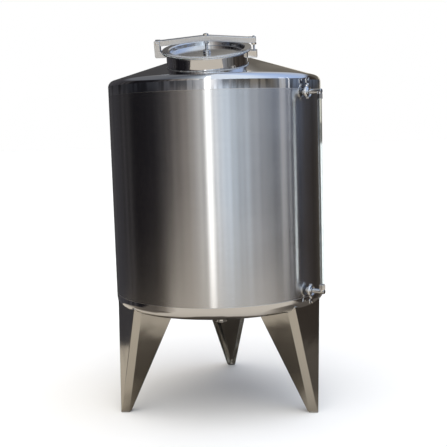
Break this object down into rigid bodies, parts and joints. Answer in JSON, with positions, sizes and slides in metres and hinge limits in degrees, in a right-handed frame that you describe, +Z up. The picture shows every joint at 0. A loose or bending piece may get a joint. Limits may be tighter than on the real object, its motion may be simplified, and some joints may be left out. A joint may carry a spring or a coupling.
{
  "type": "stainless steel chemical tank",
  "caption": "Upright round stainless steel tank on folded sheet legs, with a conical roof, a hinged round manway and a glass level gauge.",
  "frame": {"origin": "on the floor, in the middle of the tank's outline, 18 mm behind the vessel's vertical axis because the rear foot stands out past the shell", "axes": "+Z up; -Y is the front, the side that the manway leans towards; +X is the right side, with the level gauge"},
  "size_m": [1.2, 1.2353, 2.0653],
  "materials": {
    "brushed_shell": "brushed sheet",
    "polished_steel": "mirror polished",
    "leg_steel": "cold rolled sheet, folded",
    "fitting_steel": "machined and polished",
    "white_gasket": "white rubber",
    "clear_glass": "clear tube"
  },
  "bodies": {
    "root": {"shell_wall": "brushed_shell", "cone_roof": "polished_steel", "bottom_head": "polished_steel", "bottom_outlet": "fitting_steel", "leg_front_left": "leg_steel", "leg_front_right": "leg_steel", "leg_rear": "leg_steel", "foot_pad_front_left": "leg_steel", "foot_pad_front_right": "leg_steel", "foot_pad_rear": "leg_steel", "manway_neck": "polished_steel", "manway_rim": "polished_steel", "hinge_ear_lower": "fitting_steel", "hinge_ear_upper": "fitting_steel", "hinge_pin": "fitting_steel", "latch_lug": "fitting_steel", "gauge_nozzle_upper": "fitting_steel", "gauge_nozzle_lower": "fitting_steel", "gauge_clamp_upper": "fitting_steel", "gauge_clamp_lower": "fitting_steel", "gauge_wing_nut_upper": "fitting_steel", "gauge_wing_nut_lower": "fitting_steel", "gauge_arm_upper": "fitting_steel", "gauge_arm_lower": "fitting_steel", "gauge_nut_upper": "fitting_steel", "gauge_nut_lower": "fitting_steel", "sight_glass": "clear_glass"},
    "lid": {"lid_gasket": "white_gasket", "manway_lid": "polished_steel", "lid_boss": "fitting_steel", "yoke_bar": "fitting_steel", "clamp_spindle": "fitting_steel", "spindle_nut_lower": "fitting_steel", "spindle_nut_upper": "fitting_steel", "clamp_screw": "fitting_steel", "screw_nut": "fitting_steel"}
  },
  "joints": [
    {"name": "lid_hinge", "type": "hinge", "parent": "root", "child": "lid", "pos_m": [-0.258, -0.39118, 2.02328], "axis": [0, -0.9563, -0.2924], "range_deg": [0, 105]}
  ]
}
